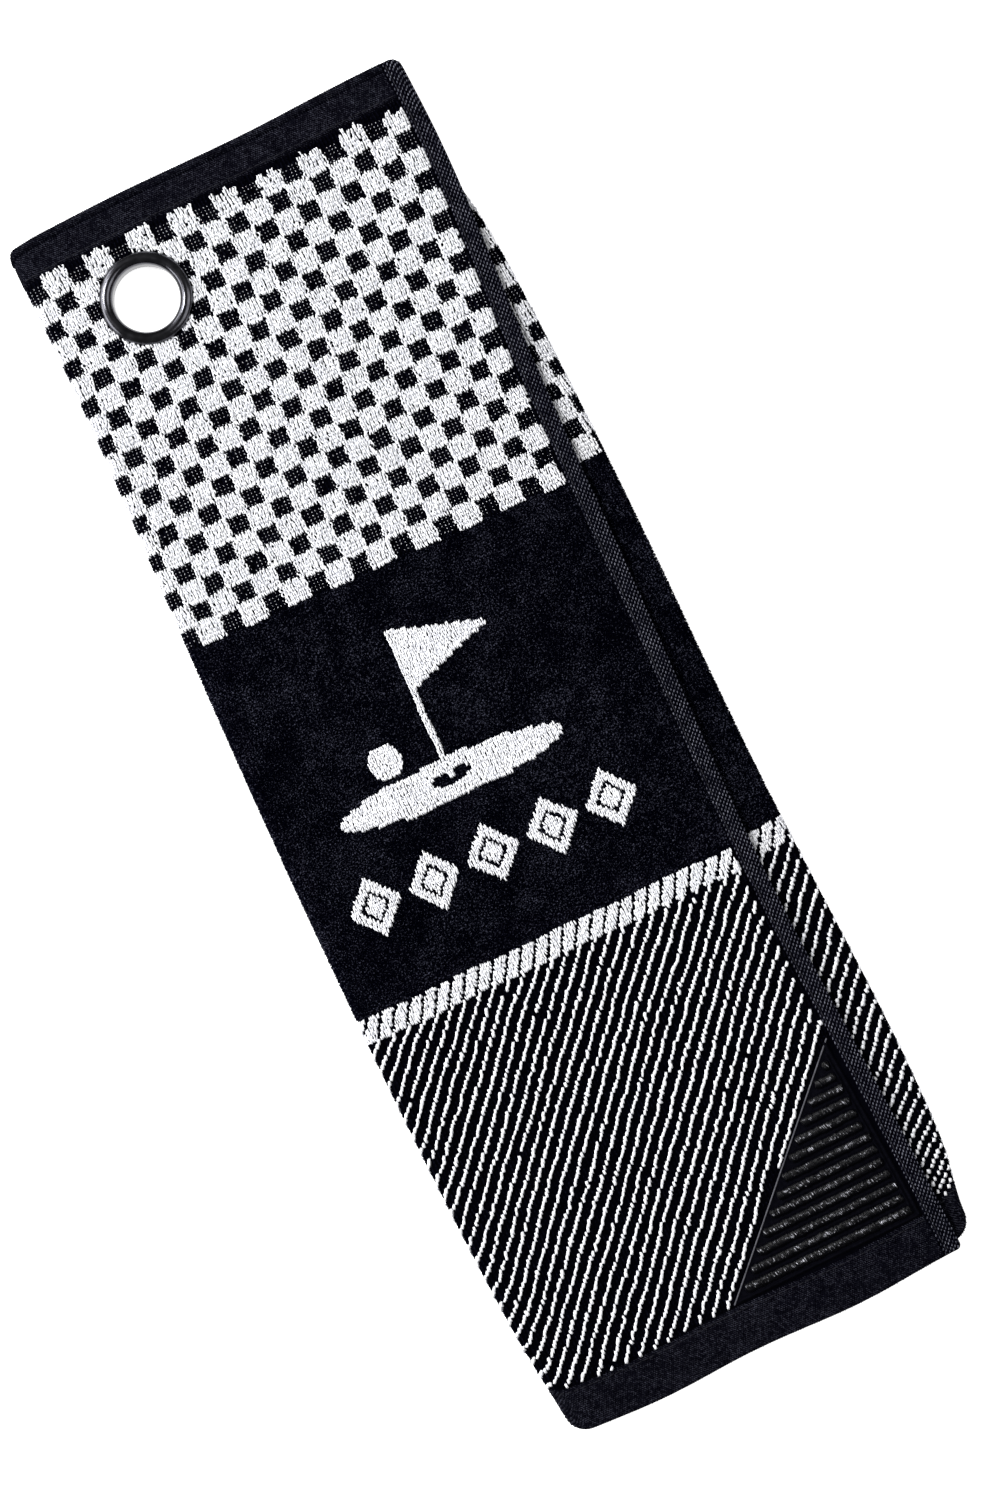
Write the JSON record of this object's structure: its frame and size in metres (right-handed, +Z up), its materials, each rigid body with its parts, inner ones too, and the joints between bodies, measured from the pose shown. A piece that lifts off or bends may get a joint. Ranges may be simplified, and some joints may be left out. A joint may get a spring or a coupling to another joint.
{
  "type": "golf towel",
  "caption": "Square terry golf towel folded in three and clamped by a corner grommet, with checks, a plain band, diagonal stripes and a ribbed scrub patch.",
  "frame": {"origin": "centre of the folded towel's outline, on the plane that it lies on", "axes": "+Y along the towel towards the grommet end, +Z up out of the front face, +X across towards the front panel's free hem"},
  "size_m": [0.1842, 0.508, 0.0106],
  "materials": {
    "towel_cloth": "jacquard terry, black ground with raised white loops",
    "hem_weave": "flat woven hem, matte black",
    "thread": "black sewing thread",
    "scrub": "ribbed scrubber, slightly glossy black",
    "grommet": "polished black nickel"
  },
  "bodies": {
    "clamped_strip": {"left_cloth": "towel_cloth", "left_top_hem": "hem_weave", "left_top_stitching": "thread", "left_bottom_hem": "hem_weave", "left_bottom_stitching": "thread", "inner_cloth": "towel_cloth", "inner_top_hem": "hem_weave", "inner_top_stitching": "thread", "inner_bottom_hem": "hem_weave", "inner_bottom_stitching": "thread", "inner_side_hem": "hem_weave", "inner_side_stitching": "thread", "grommet_eyelet": "grommet", "grommet_washer": "grommet"},
    "front_flap": {"front_cloth": "towel_cloth", "front_top_hem": "hem_weave", "front_top_stitching": "thread", "front_bottom_hem": "hem_weave", "front_bottom_stitching": "thread", "front_side_hem": "hem_weave", "front_side_stitching": "thread", "scrub_patch": "scrub", "patch_stitching": "thread"},
    "rear_flap": {"rear_cloth": "towel_cloth", "rear_top_hem": "hem_weave", "rear_top_stitching": "thread", "rear_bottom_hem": "hem_weave", "rear_bottom_stitching": "thread"}
  },
  "joints": [
    {"name": "front_flap_fold", "type": "hinge", "parent": "clamped_strip", "child": "front_flap", "pos_m": [-0.01867, 0, 0.01], "axis": [0, -1, 0], "range_deg": [0, 175]},
    {"name": "rear_flap_fold", "type": "hinge", "parent": "clamped_strip", "child": "rear_flap", "pos_m": [-0.01867, 0, -0.0006], "axis": [0, 1, 0], "range_deg": [0, 175]}
  ]
}
